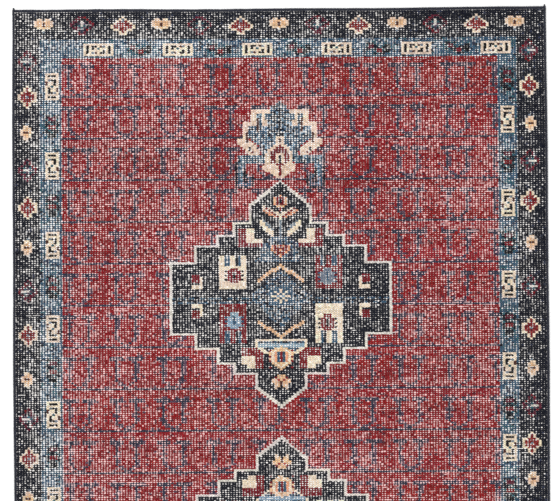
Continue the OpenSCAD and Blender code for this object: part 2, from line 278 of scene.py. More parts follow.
def knot_back():
    """The back of the rug: each knot shows as two small loops side by side, between lines of weft."""
    m = Nodes("knot_backs", 0.92, 0.05, 0.15)
    loops = m.wave(0.5 * math.pi / KX, "X", 0.3)
    weft = m.wave(0.5 * math.pi / KY, "Y", 0.3)
    both = m.mix(1.0, m.ramp(loops, [(0.0, (0.45,) * 3), (0.5, (1.0,) * 3)]),
                 m.ramp(weft, [(0.0, (0.5,) * 3), (0.5, (1.0,) * 3)]))
    m.colour(m.mix(0.7, m.attribute("yarn"), both))
    m.rough(loops, 0.85, 0.96)
    m.bump(both, 0.7, 0.001)
    return m.material


COTTON = srgb(253, 249, 245)
NAVY_RIM = srgb(40, 42, 52)
LINEN = srgb(206, 192, 172)
THREAD = srgb(236, 232, 224)

materials = {slot: wool(slot, 0.02) for slot in (
    "navy_wool", "blue_wool", "indigo_wool", "red_wool", "madder_wool", "ivory_wool", "gold_wool")}
materials["overcast_navy"] = spun("overcast_navy", None, 1, 0.25)
materials["cotton_ground"] = cotton("cotton_ground")
materials["cotton_cord"] = spun("cotton_cord", srgb(232, 220, 205), 1, 1)
materials["sewing_thread"] = spun("sewing_thread", THREAD, 1, 1)
materials["knot_backs"] = knot_back()

floor_material = Nodes("floor", 0.85)
floor_tint = floor_material.ramp(floor_material.noise(6, 3), [(0.2, (0.93,) * 3), (0.8, (0.95,) * 3)])
floor_material.colour(floor_tint)

# ---- mesh helpers -------------------------------------------------------------------------------------

pieces = []


def smooth_field(rows, cols, cell_r, cell_c, seed):
    """Slowly varying values between -1 and 1 over a grid."""
    coarse = np.random.default_rng(seed).uniform(-1, 1, (int(rows / cell_r) + 3, int(cols / cell_c) + 3))
    y = np.arange(rows) / cell_r
    x = np.arange(cols) / cell_c
    iy, ix = y.astype(int), x.astype(int)
    fy, fx = y - iy, x - ix
    fy, fx = fy * fy * (3 - 2 * fy), fx * fx * (3 - 2 * fx)
    a = coarse[iy][:, ix] * (1 - fx) + coarse[iy][:, ix + 1] * fx
    b = coarse[iy + 1][:, ix] * (1 - fx) + coarse[iy + 1][:, ix + 1] * fx
    return a * (1 - fy[:, None]) + b * fy[:, None]


def laid(co):
    """How the rug really lies: slightly bowed ends, sides that wander, and a soft swell off the floor."""
    co = np.array(co, dtype=float)
    x, y = co[:, 0].copy(), co[:, 1].copy()
    tx, ty = x / RUG_X, y / RUG_Y
    co[:, 0] += 0.0011 * np.sin(2.3 * y + 0.6) * tx ** 3 + 0.0006 * np.sin(9 * y) * tx ** 5
    co[:, 1] += 0.0024 * (tx ** 2 - 0.4) * ty ** 5 + 0.0007 * np.sin(11 * x + 1) * ty ** 7
    swell = (np.sin(3.1 * x + 1.3 * y) + np.sin(2.2 * y - 1.9 * x + 1.7) + np.sin(5.3 * x - 2.0) * 0.5) / 2.5
    co[:, 2] += 0.0008 * (1 + swell)
    return co


def make_mesh(name, co, faces, material, colours=None, domain="POINT", uv=None):
    """A smooth mesh from numpy arrays; faces is a list of (n, k) index arrays."""
    mesh = bpy.data.meshes.new(name)
    loops = np.concatenate([f.ravel() for f in faces]).astype(np.int32)
    totals = np.concatenate([np.full(len(f), f.shape[1], np.int32) for f in faces])
    starts = np.concatenate([[0], np.cumsum(totals)[:-1]]).astype(np.int32)
    mesh.vertices.add(len(co))
    mesh.vertices.foreach_set("co", np.asarray(co, np.float32).ravel())
    mesh.loops.add(len(loops))
    mesh.loops.foreach_set("vertex_index", loops)
    mesh.polygons.add(len(totals))
    mesh.polygons.foreach_set("loop_start", starts)
    mesh.polygons.foreach_set("use_smooth", np.ones(len(totals), bool))
    mesh.update(calc_edges=True)
    if colours is not None:
        attribute = mesh.attributes.new("yarn", "FLOAT_COLOR", domain)
        rgba = np.ones((len(colours), 4), np.float32)
        rgba[:, :3] = colours
        attribute.data.foreach_set("color", rgba.ravel())
    if uv is not None:
        layer = mesh.uv_layers.new(name="OFBake")
        layer.data.foreach_set("uv", np.asarray(uv, np.float32).ravel())
    mesh.materials.append(material)
    mesh.validate()
    obj = bpy.data.objects.new(name, mesh)
    bpy.context.scene.collection.objects.link(obj)
    pieces.append(obj)
    return obj


def place(obj, slot, nodes):
    """Where a piece goes: the CAD nodes it stands for, and what it moves with. The slot argument is not used.
    """
    if nodes:
        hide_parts(*nodes)
    co = np.empty(len(obj.data.vertices) * 3, np.float32)
    obj.data.vertices.foreach_get("co", co)
    y = co[1::3]
    if y.min() > FOLD_END[1]:
        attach(obj, "head_half")
    elif y.max() < FOLD_START[1]:
        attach(obj, "foot_half")
    else:
        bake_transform(obj)


# ---- the pattern, knot by knot ------------------------------------------------------------------------

YARN = {
    "navy": srgb(15, 19, 33), "navy_deep": srgb(10, 10, 16), "indigo": srgb(42, 48, 68),
    "blue": srgb(50, 82, 106), "pale_blue": srgb(132, 160, 180), "teal": srgb(44, 90, 102),
    "slate": srgb(84, 62, 82), "grey": srgb(110, 122, 136), "brown": srgb(80, 42, 34),
    "red": srgb(138, 14, 24), "madder": srgb(118, 17, 28), "wine": srgb(92, 22, 44),
    "dusk": srgb(84, 26, 40), "brick": srgb(146, 46, 42), "coral": srgb(172, 58, 54),
    "ivory": srgb(240, 218, 192), "white": srgb(226, 219, 210), "leaf": srgb(240, 210, 184),
    "peach": srgb(232, 160, 122), "gold": srgb(228, 184, 142),
}
NAMES = list(YARN)
CODE = {name: i for i, name in enumerate(NAMES)}
# the plain yarn of each CAD colour area, before any motif is drawn on it
START = {
    "outer_border": "navy", "outer_rosettes": "ivory", "outer_stars": "madder", "outer_flowers": "gold",
    "inner_border": "blue", "cartouches": "ivory", "latch_motifs": "navy_deep", "field": "red",
    "field_lattice": "indigo", "pendant_dome": "blue", "pendant_leaves": "leaf",
    "pendant_shield": "madder", "medallion_outline": "white", "medallion_ground": "navy",
    "medallion_blue": "blue", "medallion_ivory": "ivory", "medallion_red": "madder", "medallion_gold": "gold",
}


def read_zones():
    """The CAD node under the middle of each knot, as an index into NODES."""
    # a little off the knot's middle, so that no ray runs down an edge between two faces
    off_u, off_v = 0.07, 0.08
    points, polygons, owner = [], [], []
    for index, node in enumerate(NODES):
        if base_of(node) not in START:
            continue
        mesh = frame["nodes"][node].data
        first = len(points)
        points.extend(v.co[:] for v in mesh.vertices)
        for polygon in mesh.polygons:
            if polygon.normal.z > 0.9:
                polygons.append([first + i for i in polygon.vertices])
                owner.append(index)
    tree = BVHTree.FromPolygons(points, polygons)
    down = Vector((0, 0, -1))
    zones = np.full((ROWS, COLS), -1)
    for row in range(ROWS):
        for col in range(COLS):
            x = (col - MID_COL + off_u) * KX
            y = (row - MID_ROW + off_v) * KY
            hit = tree.ray_cast(Vector((x, y, 0.1)), down)
            if hit[2] is not None:
                zones[row, col] = owner[hit[2]]
    return zones


zones = read_zones()
for row, col in np.argwhere(zones < 0):
    near = zones[max(row - 1, 0):row + 2, max(col - 1, 0):col + 2]
    zones[row, col] = near[near >= 0][0]
base_names = sorted(START)
base_index = np.array([base_names.index(base_of(n)) if base_of(n) in START else -1 for n in NODES])
area = base_index[zones]
yarn = np.array([CODE[START[b]] for b in base_names])[area]


def is_area(name):
    return area == base_names.index(name)


def rect(u0, u1, v0, v1, name, mirror=True, only=None):
    """Rows v0..v1 and columns u0..u1 in one yarn, and the same at the foot end (and on the left)."""
    for su in ((1, -1) if mirror else (1,)):
        for sv in (1, -1):
            cols = sorted((MID_COL + su * u0, MID_COL + su * u1))
            rows = sorted((MID_ROW + sv * v0, MID_ROW + sv * v1))
            part = np.s_[rows[0]:rows[1] + 1, cols[0]:cols[1] + 1]
            inside = True if only is None else area[part] == base_names.index(only)
            yarn[part] = np.where(inside, CODE[name], yarn[part])


def line(u0, v0, u1, v1, thick, name, mirror=True):
    """A straight line of knots, so many rows thick."""
    steps = int(max(abs(u1 - u0), abs(v1 - v0)) * 2) + 1
    for i in range(steps + 1):
        u = round(u0 + (u1 - u0) * i / steps)
        v = round(v0 + (v1 - v0) * i / steps - (thick - 1) / 2)
        rect(u, u, v, v + thick - 1, name, mirror)


def islands(name):
    """The separate motifs of one colour area, each a list of (row, column)."""
    todo = {tuple(p) for p in np.argwhere(is_area(name))}
    found = []
    while todo:
        stack, island = [todo.pop()], []
        while stack:
            r, c = stack.pop()
            island.append((r, c))
            for q in ((r + 1, c), (r - 1, c), (r, c + 1), (r, c - 1)):
                if q in todo:
                    todo.remove(q)
                    stack.append(q)
        found.append(np.array(island))
    return found


def motif_knots(island):
    """The knots of a border motif, each with its steps along the border and outwards from the motif's middle,
    and whether the motif lies along an end of the rug."""
    row, col = (island.min(0) + island.max(0)) / 2
    v, u = row - MID_ROW, col - MID_COL
    past_diagonal = 8
    near_end = MID_ROW - abs(v) < MID_COL - abs(u) + past_diagonal
    on_end = near_end and abs(v) > MID_ROW - BORDER_ROWS
    for r, c in island:
        if on_end:
            yield r, c, c - col, (r - row) * np.sign(v), True
        else:
            yield r, c, r - row, (c - col) * np.sign(u), False


def edge_of(island):
    """The knots of a motif that touch something else."""
    members = {tuple(p) for p in island}
    return [p for p in members if any(
        (p[0] + a, p[1] + b) not in members for a, b in ((1, 0), (-1, 0), (0, 1), (0, -1)))]


# A motif's middle can fall on a knot or between two, so the steps below are compared with whole knots plus
# a little: 0.6 is the middle line, 1.6 the knots next to it, and so on.


def dress_rosettes():
    """End and side rosettes of the outer border: an ivory rim, a red ground and a coral heart."""
    for island in islands("outer_rosettes"):
        rim = set(edge_of(island))
        for r, c, along, out, on_end in motif_knots(island):
            if (r, c) in rim:
                continue
            if abs(along) < 0.6 and (out > 1.4 if on_end else abs(out) < 0.6):
                yarn[r, c] = CODE["grey"]
            elif abs(along) < 0.6 and abs(out) < 0.6:
                yarn[r, c] = CODE["coral"]
            else:
                yarn[r, c] = CODE["brick" if (r + 2 * c) % 3 == 0 else "madder"]


def dress_stars():
    """Dark stars of the outer border in a wine rim, with white knots at the heart."""
    for island in islands("outer_stars"):
        rim = set(edge_of(island))
        inner_rim = set(edge_of([p for p in map(tuple, island) if p not in rim]))
        for r, c, along, out, _ in motif_knots(island):
            if (r, c) in rim:
                name = "wine" if (r + c) % 5 else "madder"
            elif (r, c) in inner_rim and (r + 2 * c) % 3 == 0:
                name = "wine"
            elif abs(along) < 0.6 and -0.6 < out < 2.6:
                name = "white"
            elif abs(along) < 1.6 and abs(out) < 1.6:
                name = "teal" if (r + c) % 2 else "slate"
            elif abs(along) < 0.6 and out < -1.4:
                name = "indigo"
            else:
                name = "navy"
            yarn[r, c] = CODE[name]


def dress_flowers():
    """Gold flowers of the outer border, pale at the foot, with a brown heart."""
    for island in islands("outer_flowers"):
        rim = set(edge_of(island))
        for r, c, along, out, on_end in motif_knots(island):
            if out < (-1.4 if on_end else -1.6):
                name = "white" if out > -2.6 else "grey"
            elif abs(along) < 0.6 and -0.6 < out < 1.6:
                name = "brown"
            elif on_end and abs(along) < 0.6 and out > 2.4:
                name = "navy"
            elif not on_end and abs(along) > 3.4:
                name = "grey" if along > 0 else "white"
            elif (r, c) in rim:
                name = "leaf"
            else:
                name = "gold"
            yarn[r, c] = CODE[name]


def dress_panels():
    """Ivory panels: a bar near each end, and two opposite hooks round the middle knot."""
    for island in islands("cartouches"):
        half = np.ptp(island, axis=0).max() / 2 - 1
        for r, c, along, out, on_end in motif_knots(island):
            turn = 1 if along > 0 else -1
            near = abs(along) if on_end else 0.6 * abs(along) + (abs(along) > 3.4)
            step = (round(near), round(out * turn + 0.1))
            if abs(abs(along) - half) < 0.6 and abs(out) < 1.6:
                yarn[r, c] = CODE["navy_deep"]
            elif step in ((2, -1), (2, 0), (1, -1)):
                yarn[r, c] = CODE["navy_deep"]
            elif step == (0, 0):
                yarn[r, c] = CODE["teal"]
            elif step == (2, 2 if on_end else 1):
                yarn[r, c] = CODE["grey"]
            elif step == (1, 2):
                yarn[r, c] = CODE["brown"]


def dress_latches():
    """Latch motifs between the panels: two small red squares in dark frames, one after the other."""
    for island in islands("latch_motifs"):
        for r, c, along, out, on_end in motif_knots(island):
            step = along if on_end else -0.8 * along
            shift = out if on_end else 0.0
            first, second = abs(step + 2.7), abs(step - 0.7)
            if first < 0.9 and 0 <= shift < 2 and abs(out) < 2:
                name = "wine"
            elif second < 0.9 and -2 < shift <= 0 and abs(out) < 2:
                name = "madder"
            elif (first < 1.8 and -1 < shift < 3) or (second < 1.9 and -3 < shift < 1):
                name = "navy" if (r + c) % 4 else "teal"
            elif step > 2.2 and abs(out) < 1.6:
                name = "navy_deep" if (r + c) % 3 else "navy"
            else:
                name = "blue" if (r + c) % 2 else "teal"
            yarn[r, c] = CODE[name]


def dress_pendant():
    # stem and side twigs above the dome
    line(0, 150, 0, 138, 1, "navy", False)
    for v in (149, 146, 143, 140):
        line(1, v, 4, v - 2, 1, "navy")
    rect(-1, 1, 137, 138, "navy", False)
    # scales in the dome, its edge, and the knots down the pendant's middle
    for v in (130, 133, 136):
        for u in range(3 + v % 2, 13, 3):
            rect(u, u, v, v + 1, "indigo", only="pendant_dome")
    rect(11, 11, 130, 131, "navy")
    rect(10, 10, 129, 129, "madder")
    rect(0, 0, 134, 135, "brown", False)
    rect(0, 0, 124, 127, "navy", False)
    rect(0, 0, 118, 121, "madder", False)
    # brown veins in the stepped leaves
    rect(8, 8, 139, 145, "brown")
    rect(12, 12, 134, 138, "brown", only="pendant_leaves")
    # the two hooks below, outlined and curled inwards
    rect(6, 14, 125, 125, "navy", only="field")
    rect(14, 15, 113, 123, "blue")
    rect(11, 13, 113, 114, "blue")
    rect(11, 11, 115, 117, "blue")
    rect(13, 13, 115, 121, "navy")
    rect(12, 12, 115, 116, "navy")
    rect(16, 16, 113, 124, "navy")
    rect(11, 15, 112, 112, "navy")
    rect(10, 10, 113, 117, "navy")
    for v in range(114, 124, 2):
        rect(14, 14, v, v, "pale_blue")
    rect(4, 5, 145, 147, "blue")


def dress_medallion():
    # flower and leaves at the tip
    rect(-1, 1, 104, 107, "madder", False)
    rect(0, 0, 105, 106, "navy", False)
    for u, v in ((2, 104), (2, 107), (0, 108)):
        rect(u, u, v, v, "peach")
    rect(0, 0, 101, 102, "madder", False)
    line(1, 98, 5, 102, 1, "madder")
    line(2, 98, 6, 101, 1, "peach")
    line(3, 90, 7, 95, 3, "ivory")
    line(3, 92, 6, 96, 1, "grey")
    rect(0, 0, 88, 96, "grey", False)
    # heart in the upper dome
    rect(-2, 2, 81, 83, "madder", False)
    rect(3, 3, 82, 84, "peach")
    rect(2, 2, 81, 81, "peach")
    rect(0, 0, 79, 80, "peach", False)
    rect(1, 1, 84, 84, "peach")
    rect(0, 0, 82, 82, "peach", False)
    # middle diamond with its rosette
    for v in range(46, 74):
        half = int(11 * (1 - abs(v - 60) / 16)) - 1
        for u in range(-half, half + 1):
            if (u * 3 + v * 5) % 7 < 2:
                rect(u, u, v, v, "navy", False)
    rect(-4, 4, 56, 64, "blue", False)
    for u, v in ((0, 63), (0, 57), (3, 60), (2, 62), (2, 58)):
        rect(u, u, v, v, "leaf")
    for u, v in ((0, 62), (0, 58), (2, 60), (1, 61), (1, 59)):
        rect(u, u, v, v, "ivory")
    rect(-1, 1, 60, 60, "pale_blue", False)
    rect(0, 0, 60, 60, "white", False)
    # a broken blue stripe on either side of a plain row
    for v, share in ((57, 0.55), (58, 0.0), (59, 0.55)):
        row = np.array([MID_ROW + v, MID_ROW - v])
        stripe = is_area("medallion_ground")[row]
        stripe &= rng.random(stripe.shape) < share
        yarn[row] = np.where(stripe, CODE["blue"], yarn[row])
    # squares: a beetle-like motif with legs, drawn row by row, and blue between the pegs
    beetle_u, beetle_halves = 17, (1, 3, 2, 3, 2, 3, 1, 1)
    for side, low, high, body, tick in (
        (-1, 67, 73, "madder", "navy_deep"), (1, 66, 73, "grey", "blue"),
        (-1, 45, 52, "pale_blue", "blue"), (1, 44, 51, "madder", "navy_deep"),
    ):
        for v in range(low, high + 1):
            middle, half = beetle_u * side, beetle_halves[v - low]
            rect(middle - half, middle + half, v, v, body, False)
            if half == max(beetle_halves):
                rect(middle - half, middle - half, v, v, tick, False)
                rect(middle + half, middle + half, v, v, tick, False)
        rect(middle, middle, low + 2, high - 2, tick, False)
    for side, low, high in ((-1, 75, 79), (1, 75, 79), (-1, 38, 43), (1, 38, 43)):
        for u in (15, 19, 20):
            rect(u * side, u * side, low, high, "blue", False)
    # bowl, six-sided rosette and flower at the foot of the medallion
    line(-8, 37, 8, 37, 2, "pale_blue", False)
    for u, v in ((0, 36), (1, 35), (2, 34), (2, 28), (1, 27), (0, 26)):
        rect(u, u, v, v, "ivory")
    rect(3, 3, 29, 33, "ivory")
    for v in (26, 29, 31, 34):
        rect(4, 4, v, v, "madder")
    rect(2, 2, 29, 33, "peach")
    rect(1, 1, 29, 33, "blue")
    rect(0, 0, 29, 33, "madder", False)
    rect(-3, 3, 17, 20, "gold", False)
    rect(3, 3, 17, 18, "navy")
    rect(0, 0, 16, 17, "navy", False)
    rect(2, 2, 16, 17, "leaf")
    rect(3, 3, 20, 20, "leaf")
    rect(0, 0, 18, 19, "brown", False)
    rect(1, 1, 20, 20, "coral")
    rect(2, 2, 21, 21, "madder")


def spread_lattice():
    """The blue yarn of the lattice wanders into the next column or row here and there."""
    lattice = is_area("field_lattice")
    for shift, share in (((0, 1), 0.55), ((0, -1), 0.15), ((1, 0), 0.12)):
        beside = np.roll(lattice, shift, (0, 1)) & is_area("field")
        yarn[beside & (rng.random((ROWS, COLS)) < share)] = CODE["slate"]


def scatter(name, share, base):
    """Single knots of another yarn among the plain ones of an area."""
    plain_yarn = is_area(base) & (yarn == CODE[START[base]])
    yarn[plain_yarn & (rng.random((ROWS, COLS)) < share)] = CODE[name]


# yarn, share of the plain knots it takes, and colour area
SCATTERED = (
    ("dusk", 0.05, "field"), ("coral", 0.015, "field"), ("slate", 0.012, "field"),
    ("indigo", 0.16, "inner_border"), ("navy", 0.07, "inner_border"), ("teal", 0.14, "inner_border"),
    ("indigo", 0.20, "medallion_blue"), ("navy", 0.22, "medallion_blue"),
    ("navy", 0.16, "pendant_dome"), ("pale_blue", 0.16, "pendant_dome"),
    ("indigo", 0.04, "outer_border"),
)

for entry in SCATTERED:
    scatter(*entry)
spread_lattice()
dress_rosettes()
dress_stars()
dress_flowers()
dress_panels()
dress_latches()
dress_pendant()
dress_medallion()

# ---- wear and shade -----------------------------------------------------------------------------------

u_grid = np.abs(np.arange(COLS) - MID_COL)[None, :]
v_grid = np.abs(np.arange(ROWS) - MID_ROW)[:, None]
rim = np.minimum(MID_COL - u_grid, MID_ROW - v_grid)
# how worn each knot is: a mean, broad and small patches, and streaks along and across the rug
wear = (0.52 + 0.10 * smooth_field(ROWS, COLS, 44, 26, 1) + 0.09 * smooth_field(ROWS, COLS, 13, 8, 2)
        + 0.09 * smooth_field(ROWS, COLS, 40, 1.6, 3) + 0.09 * smooth_field(ROWS, COLS, 1.6, 40, 4))
wear = np.clip(wear, 0.12, 1.0) * np.clip((rim - 0.5) / 4.0, 0.68, 1.0)
# the left side is worn more than the right, most of all in the borders
in_border = (v_grid > MID_ROW - BORDER_ROWS) | (u_grid > MID_COL - BORDER_COLS)
wear = wear * (1 - np.where(in_border, 0.20, 0.07) * (np.arange(COLS) - MID_COL) / MID_COL)
AREA_WEAR = {
    "outer_border": 0.88, "inner_border": 1.04, "field": 0.90, "field_lattice": 0.90,
    "medallion_ground": 0.84, "pendant_leaves": 1.3, "pendant_shield": 1.2, "medallion_ivory": 1.2,
}
wear = wear * np.array([AREA_WEAR.get(b, 1.0) for b in base_names])[area]
dark_yarn = (yarn == CODE["navy"]) | (yarn == CODE["navy_deep"])
plain = np.isin(area, [base_names.index(b) for b in (
    "outer_border", "inner_border", "field", "field_lattice", "medallion_ground", "medallion_blue",
    "pendant_dome")])
wear = wear * np.where(dark_yarn, 0.88, 1.0) * np.where(plain, 1.0, 0.7)
# abrash: bands across the rug where a batch of yarn was dyed a little lighter or darker
abrash = 0.12 * smooth_field(ROWS, COLS, 3, 70, 5) + 0.08 * smooth_field(ROWS, COLS, 40, 40, 6)

lin = np.array([YARN[n] for n in NAMES])[yarn]
reds = (yarn == CODE["red"]) | (yarn == CODE["madder"])
hue = np.where(reds, 0.32, 0.04) * smooth_field(ROWS, COLS, 2.5, 80, 7)
# dye that has run from the pile into the cotton
STAIN = {
    "field": (1.0, 0.69, 0.70), "field_lattice": (1.0, 0.72, 0.74), "inner_border": (0.93, 0.97, 1.0),
}
stain = COTTON * np.array([STAIN.get(b, (1.0, 1.0, 1.0)) for b in base_names])[area]
tilt = np.stack([np.ones_like(hue), 1 + hue, 1 - hue], -1)
shade = 1 + abrash + rng.normal(0, 0.13, (ROWS, COLS))
knot_rgb = lin * tilt * shade[..., None]
fade = (0.01 + 0.03 * wear + rng.normal(0, 0.012, (ROWS, COLS)))[..., None]
grey = knot_rgb.mean(-1, keepdims=True)
faded = 0.35 * grey + 0.65 * COTTON * 0.55
DARKEST, LIGHTEST = 0.004, 0.95
knot_rgb = np.clip(knot_rgb * (1 - fade) + faded * fade, DARKEST, LIGHTEST)

# ---- the tufts ----------------------------------------------------------------------------------------

GX, GY = COLS + 1, ROWS + 1
# Gaps in the pile: a pale dot where four tufts meet, and a pale dash between two rows of them. The sizes
# are in knots, DOT_STRETCH is a dot's length over its width, both in knots, and DASH_SHARE and DASH_GOES_ON
# are chances.
DOT_SIZE, DOT_LIMIT, DOT_STRETCH, DEEP_DOT = 0.17, 0.25, 1.08, 0.07
DASH_SHARE, DASH_GOES_ON, DASH_SIZE, DEEP_DASH = 0.16, 0.6, 0.10, 0.05
# Where nothing is worn away, a tuft's edges reach this many knots past its own cell, and its corners stand
# at this height in metres.
EDGE_OVERLAP, SHOULDER = 0.075, 0.0049
# Points of a tuft: 0 its middle, 1-4 the middles of its low, right, high and left edges, 5-8 its corners
# from low left anticlockwise, and 9 its root.
TUFT_TOP = np.array([[0, 1, 6, 2], [0, 2, 7, 3], [0, 3, 8, 4], [0, 4, 5, 1]])
TUFT_UNDER = np.array([[9, 2, 6, 1], [9, 3, 7, 2], [9, 4, 8, 3], [9, 1, 5, 4]])


def grid_mean(values):
    """Values of the knots, averaged at the corners where four of them meet."""
    total, count = np.zeros((GY, GX)), np.zeros((GY, GX))
    for a in (0, 1):
        for b in (0, 1):
            total[a:a + ROWS, b:b + COLS] += values
            count[a:a + ROWS, b:b + COLS] += 1
    return total / count


def make_tufts():
    """All tufts at once: positions (row, column, point, xyz) and each point's share of cotton colour."""
    worn = grid_mean(wear)
    dot = np.clip(worn * DOT_SIZE * rng.lognormal(0, 0.55, (GY, GX)), 0.0, DOT_LIMIT)
    dot[worn < 0.10] = 0
    cx = np.arange(GX)[None, :] - COLS / 2 + rng.normal(0, 0.045, (GY, GX))
    cy = np.arange(GY)[:, None] - ROWS / 2 + rng.normal(0, 0.055, (GY, GX))
    cx[:, [0, -1]] = [-COLS / 2, COLS / 2]
    cy[[0, -1], :] = np.array([[-ROWS / 2], [ROWS / 2]])
    dash_wear = (worn[:, 1:] + worn[:, :-1]) / 2
    patches = np.clip(smooth_field(GY, COLS, 7, 22, 8) - 0.25, 0, 1)
    starts = rng.random((GY, COLS)) < DASH_SHARE * patches
    runs = starts | (np.roll(starts, 1, 1) & (rng.random((GY, COLS)) < DASH_GOES_ON))
    dash = np.where(runs, DASH_SIZE * (0.5 + dash_wear), 0)
    height = PILE_TOP - 0.0003 - 0.0006 * wear + rng.normal(0, 0.00013, (ROWS, COLS))
    height = np.minimum(height, PILE_TOP)

    xyz, tint = np.zeros((ROWS, COLS, 10, 3)), np.zeros((ROWS, COLS, 10))
    mx = np.arange(COLS)[None, :] - MID_COL + rng.normal(0, 0.03, (ROWS, COLS))
    my = np.arange(ROWS)[:, None] - MID_ROW + rng.normal(0, 0.03, (ROWS, COLS))
    xyz[:, :, 0] = np.stack([mx, my, height], -1)
    xyz[:, :, 9] = np.stack([mx, my, np.full((ROWS, COLS), COTTON_TOP - 0.0010)], -1)
    for k, (a, b) in enumerate(((0, 0), (0, 1), (1, 1), (1, 0))):
        d = dot[a:a + ROWS, b:b + COLS] * (1 + rng.normal(0, 0.18, (ROWS, COLS)))
        low = np.clip(d / DEEP_DOT, 0, 1)
        xyz[:, :, 5 + k] = np.stack([
            cx[a:a + ROWS, b:b + COLS] + (1 - 2 * b) * d,
            cy[a:a + ROWS, b:b + COLS] + (1 - 2 * a) * DOT_STRETCH * d,
            SHOULDER * (1 - low) + (COTTON_TOP - 0.0002) * low], -1)
        tint[:, :, 5 + k] = 0.06 * low
    ends = (((0, 0), (0, 1)), ((0, 1), (1, 1)), ((1, 1), (1, 0)), ((1, 0), (0, 0)))
    for k, (p, q) in enumerate(ends):
        ex = (cx[p[0]:p[0] + ROWS, p[1]:p[1] + COLS] + cx[q[0]:q[0] + ROWS, q[1]:q[1] + COLS]) / 2
        ey = (cy[p[0]:p[0] + ROWS, p[1]:p[1] + COLS] + cy[q[0]:q[0] + ROWS, q[1]:q[1] + COLS]) / 2
        gap = dash[:-1] if k == 0 else dash[1:] if k == 2 else np.zeros((ROWS, COLS))
        low = np.clip(gap / DEEP_DASH, 0, 1)
        seam = gap - EDGE_OVERLAP * (gap == 0)
        ex += {1: -seam, 3: seam}.get(k, 0)
        ey += {0: seam, 2: -seam}.get(k, 0)
        xyz[:, :, 1 + k] = np.stack([ex, ey, (height - 0.0005) * (1 - low) + COTTON_TOP * low], -1)
        tint[:, :, 1 + k] = 0.2 * low
    xyz[..., 0] *= KX
    xyz[..., 1] *= KY
    return xyz, tint


tuft_xyz, tuft_tint = make_tufts()


def tuft_piece(name, slot, mask, nodes):
    """One mesh with all tufts of a mask of knots."""
    rows, cols = np.nonzero(mask)
    n = len(rows)
    xyz = laid(tuft_xyz[rows, cols].reshape(-1, 3))
    tint = tuft_tint[rows, cols][..., None]
    rgb = knot_rgb[rows, cols][:, None, :] * (1 - tint) + stain[rows, cols][:, None, :] * 0.8 * tint
    faces = (np.concatenate([TUFT_TOP, TUFT_UNDER])[None] + 10 * np.arange(n)[:, None, None]).reshape(-1, 4)

    # Each tuft has its own cell of the bake map, with its top on the left and its underside on the right.
    side = math.ceil(math.sqrt(n))
    middle = np.stack([cols - MID_COL, rows - MID_ROW], -1)[:, None]
    flat = tuft_xyz[rows, cols][..., :2] / (KX, KY) - middle
    flat = np.clip((flat + 0.62) / 1.24, 0, 1)
    top = flat[:, TUFT_TOP] * (0.70, 0.92) + (0.03, 0.04)
    under = flat[:, TUFT_UNDER] * (0.18, 0.92) + (0.79, 0.04)
    cell = np.stack([np.arange(n) % side, np.arange(n) // side], -1)[:, None, None]
    uv = ((np.concatenate([top, under], 1) + cell) / side).reshape(-1, 2)
    obj = make_mesh(name, xyz, [faces], materials[slot], rgb.reshape(-1, 3), uv=uv)
    place(obj, slot, nodes)
    return obj


def pile():
    """The wool pile, one piece for each colour area, and the field, the largest, in strips."""
    strips = 4
    made = []
    slots = {part["node"]: part["material_slot"] for part in frame["record"]["subparts"]}
    for base in base_names:
        mask = is_area(base)
        pair = [base + "_foot", base + "_head"]
        if base == "field":
            edges = np.searchsorted(np.cumsum(mask.sum(0)), mask.sum() * np.arange(1, strips) / strips)
            strip = np.digitize(np.arange(COLS), edges)
            for k in range(strips):
                part = mask & (strip == k)[None, :]
                stands_for = pair if k == 0 else []
                made.append(tuft_piece("field_strip_%d" % (k + 1), slots[pair[0]], part, stands_for))
        elif base.startswith(("medallion", "pendant")):
            for half, rows in ((0, slice(0, MID_ROW)), (1, slice(MID_ROW, ROWS))):
                part = np.zeros_like(mask)
                part[rows] = mask[rows]
                made.append(tuft_piece(pair[half] + "_tufts", slots[pair[half]], part, [pair[half]]))
        else:
            made.append(tuft_piece(base + "_tufts", slots[pair[0]], mask, pair))
    return made


# ---- ground weave and underside -----------------------------------------------------------------------

def grid_faces(rows, cols, first=0, flip=False):
    """Faces of a grid of points."""
    r, c = np.meshgrid(np.arange(rows - 1), np.arange(cols - 1), indexing="ij")
    a = (first + r * cols + c).ravel()
    quad = np.stack([a, a + 1, a + cols + 1, a + cols], -1)
    return quad[:, ::-1] if flip else quad


def slab(name, x0, x1, y0, y1, z0, z1, nx, ny, material, colour=None):
    """A flat closed piece of cloth with enough points to lie as the rug does."""
    gx, gy = np.meshgrid(np.linspace(x0, x1, nx), np.linspace(y0, y1, ny))
    flat = np.stack([gx.ravel(), gy.ravel()], -1)
    co = np.concatenate([np.c_[flat, np.full(len(flat), z1)], np.c_[flat, np.full(len(flat), z0)]])
    n = nx * ny
    ring = np.concatenate([np.arange(nx), np.arange(1, ny) * nx + nx - 1,
                           n - 2 - np.arange(nx - 1), (np.arange(ny - 2, 0, -1)) * nx])
    walls = np.stack([ring, ring + n, np.roll(ring, -1) + n, np.roll(ring, -1)], -1)
    faces = [grid_faces(ny, nx), grid_faces(ny, nx, n, True), walls]
    row = np.clip(np.round(flat[:, 1] / KY + MID_ROW).astype(int), 0, ROWS - 1)
    col = np.clip(np.round(flat[:, 0] / KX + MID_COL).astype(int), 0, COLS - 1)
    rgb = stain[row, col] if colour is None else np.tile(colour, (n, 1))
    return make_mesh(name, laid(co), faces, material, np.tile(rgb, (2, 1)))


